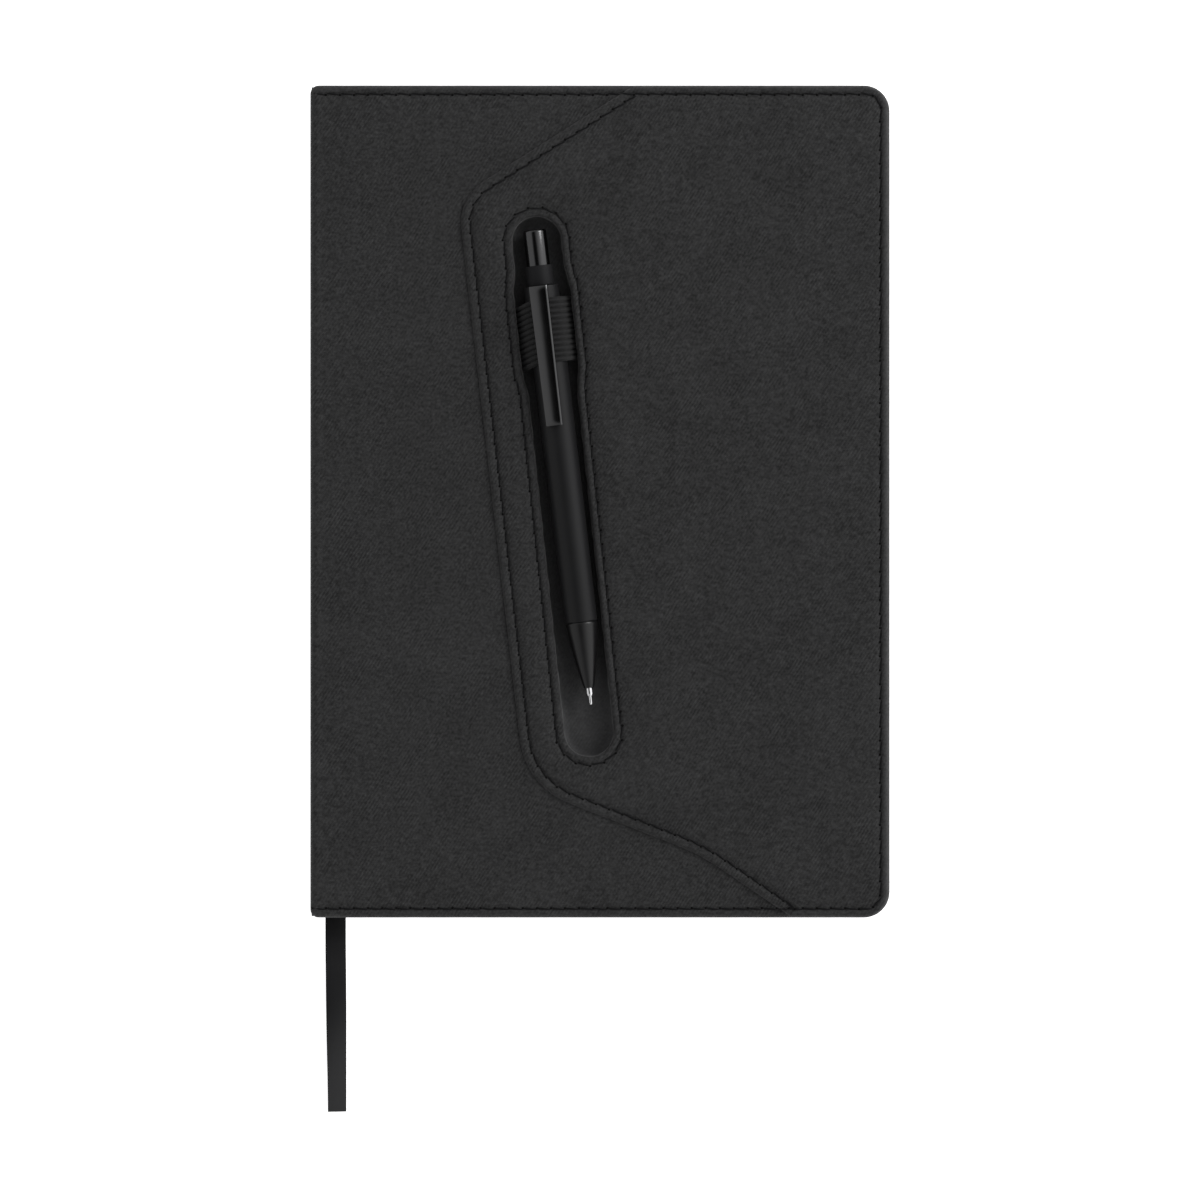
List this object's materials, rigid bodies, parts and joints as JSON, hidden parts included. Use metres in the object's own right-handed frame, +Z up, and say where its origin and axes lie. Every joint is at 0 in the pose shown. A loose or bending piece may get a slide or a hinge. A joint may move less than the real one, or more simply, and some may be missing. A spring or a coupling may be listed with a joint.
{
  "type": "pocket notebook with pen slot",
  "caption": "A5 padded cloth notebook with a stitched raised panel, a ribbon bookmark, and a click pen held by an elastic band in a slot in the front cover.",
  "frame": {"origin": "middle of the closed notebook's outline, on the surface that its back cover lies on", "axes": "+X from the spine to the fore edge, +Y towards the head of the page, +Z up out of the front cover"},
  "size_m": [0.147, 0.2611, 0.025],
  "materials": {
    "cover_cloth": "matte",
    "lining_cloth": "matte",
    "thread": "matte",
    "foam": "matte",
    "board": "matte",
    "endpaper": "matte",
    "paper": "matte",
    "gauze": "matte",
    "band": "matte",
    "ribbon": "satin",
    "elastic": "matte",
    "pen_black": "satin",
    "pen_collar": "matte",
    "gunmetal": "gloss",
    "pen_silver": "polished",
    "spring_steel": "satin",
    "refill_brass": "satin",
    "cam_plastic": "satin"
  },
  "bodies": {
    "back_cover": {"back_cloth": "cover_cloth", "back_edge_thread": "thread", "back_board": "board", "back_pastedown": "endpaper", "back_flyleaf": "endpaper", "signature_06": "paper", "signature_07": "paper", "signature_08": "paper", "signature_09": "paper", "signature_10": "paper", "block_lining": "gauze", "head_band": "band", "tail_band": "band", "ribbon_bookmark": "ribbon"},
    "spine": {"spine_cloth": "cover_cloth", "spine_board": "board"},
    "front_cover": {"front_cloth": "cover_cloth", "front_board": "board", "front_padding": "foam", "front_panel": "cover_cloth", "slot_lining": "lining_cloth", "liner_card": "board", "elastic_loop": "elastic", "edge_thread": "thread", "panel_thread": "thread", "slot_thread": "thread", "front_pastedown": "endpaper"},
    "front_pages": {"front_flyleaf": "endpaper", "signature_01": "paper", "signature_02": "paper", "signature_03": "paper", "signature_04": "paper", "signature_05": "paper"},
    "pen": {"pen_barrel": "pen_black", "pen_nose": "pen_black", "pen_ferrule": "pen_silver", "pen_collar": "pen_collar", "pen_clip": "gunmetal", "pen_spring": "spring_steel"},
    "pen_plunger": {"pen_button": "gunmetal", "pen_cam": "cam_plastic", "refill_tube": "refill_brass", "refill_tip": "pen_silver"}
  },
  "joints": [
    {"name": "spine_lean", "type": "hinge", "parent": "back_cover", "child": "spine", "pos_m": [-0.0735, 0, 0.0031], "axis": [0, -1, 0], "range_deg": [0, 23.3]},
    {"name": "cover_open", "type": "hinge", "parent": "spine", "child": "front_cover", "pos_m": [-0.0735, 0, 0.013], "axis": [0, -1, 0], "range_deg": [0, 156.8]},
    {"name": "pages_turn", "type": "hinge", "parent": "back_cover", "child": "front_pages", "pos_m": [-0.0705, 0, 0.0126], "axis": [0, -1, 0], "range_deg": [0, 180]},
    {"name": "pen_draw", "type": "hinge", "parent": "front_cover", "child": "pen", "pos_m": [-0.00226, -0.05158, 0.1049], "axis": [0.9929, 0.1189, 0], "range_deg": [0, 6], "deforming": ["elastic_loop"]},
    {"name": "pen_click", "type": "slide", "parent": "pen", "child": "pen_plunger", "axis": [-0.1189, 0.9929, 0], "range_m": [-0.0008, 0.0028], "stiffness_N_per_m": 60, "deforming": ["pen_spring"]}
  ],
  "couplings": [
    {"joint": "spine_lean", "follows": "cover_open", "ratio": 0.148},
    {"joint": "pages_turn", "follows": "cover_open", "ratio": 1.148}
  ]
}
